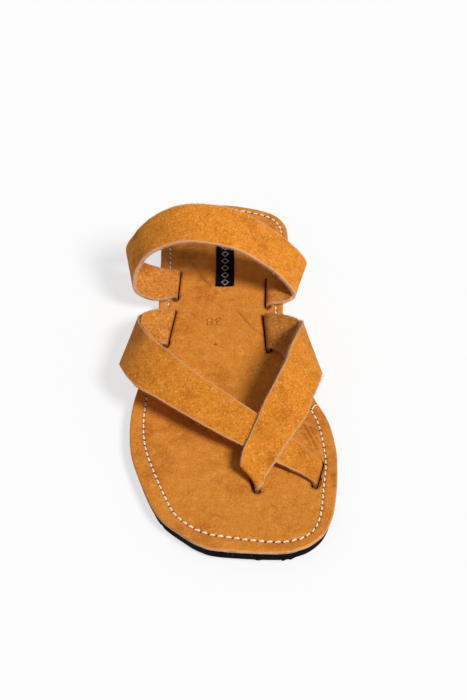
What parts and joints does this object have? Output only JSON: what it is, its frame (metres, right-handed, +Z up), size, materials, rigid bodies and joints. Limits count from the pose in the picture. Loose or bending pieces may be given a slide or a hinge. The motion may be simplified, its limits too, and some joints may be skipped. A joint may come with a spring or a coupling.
{
  "type": "leather sandal",
  "caption": "Flat right-foot leather sandal: crossed toe straps, a rolled instep strap through slots, and a rubber outsole",
  "frame": {"origin": "on the ground, on the rubber lug under the middle of the heel", "axes": "+Z up, -Y to the toe, +Y to the heel end, +X to the big toe's side; metres"},
  "size_m": [0.1042, 0.2545, 0.0587],
  "materials": {
    "outsole_rubber": "matt black moulded rubber",
    "footbed_leather": "tan nubuck, slightly worn, pale raw edge",
    "strap_leather": "tan nubuck with a rough flesh side",
    "woven_tape": "dense black woven tape"
  },
  "bodies": {
    "root": {"outsole": "outsole_rubber", "footbed": "footbed_leather", "toe_straps": "strap_leather", "instep_strap": "strap_leather", "label": "woven_tape"}
  },
  "joints": []
}
